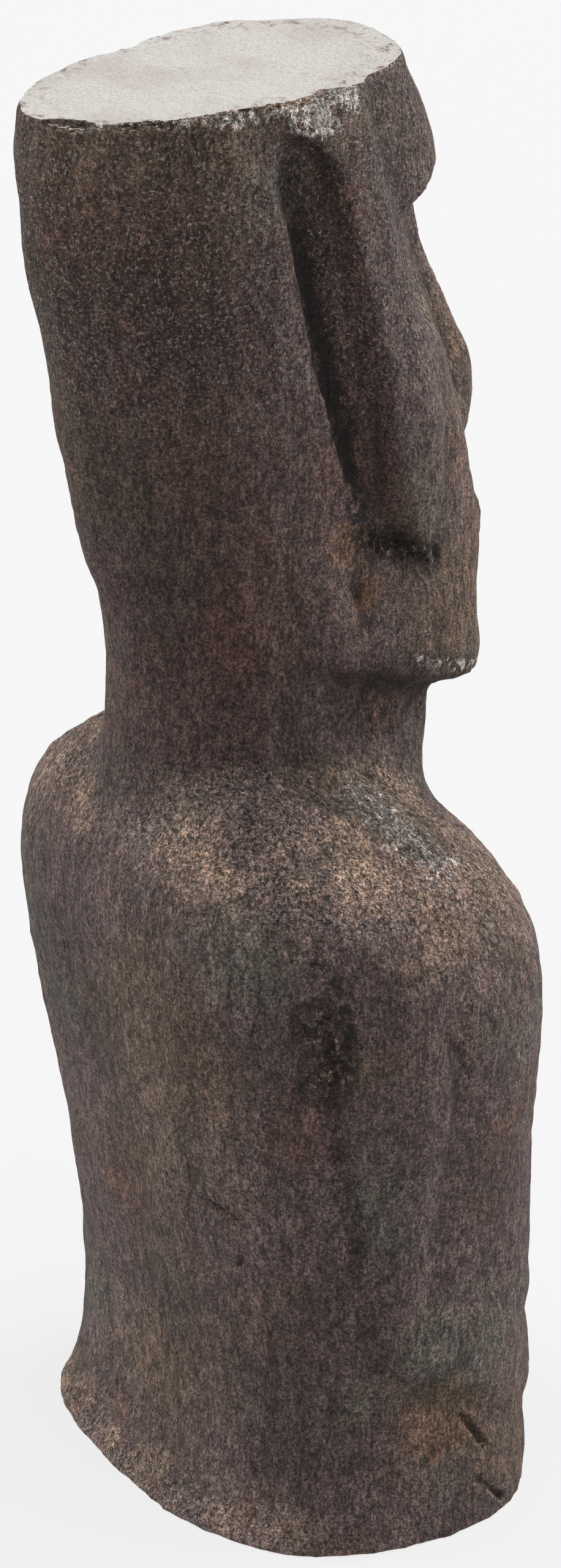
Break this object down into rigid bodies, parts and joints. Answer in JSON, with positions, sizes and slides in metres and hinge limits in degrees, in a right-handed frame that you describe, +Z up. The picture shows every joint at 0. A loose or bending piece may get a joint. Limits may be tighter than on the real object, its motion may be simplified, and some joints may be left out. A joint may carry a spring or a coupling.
{
  "type": "moai statue",
  "caption": "Standing moai carved from one stone: leaning long-eared head with flat crown, neck, shoulders, arms along the sides and hands on the belly.",
  "frame": {"origin": "middle of the flat underside that the figure stands on, at the ground", "axes": "+Z up, -Y the way the face looks, -X the figure's right hand"},
  "size_m": [0.3366, 0.2697, 0.8032],
  "materials": {
    "stone": "rough dressed, weathered"
  },
  "bodies": {
    "root": {"moai_figure": "stone"}
  },
  "joints": []
}
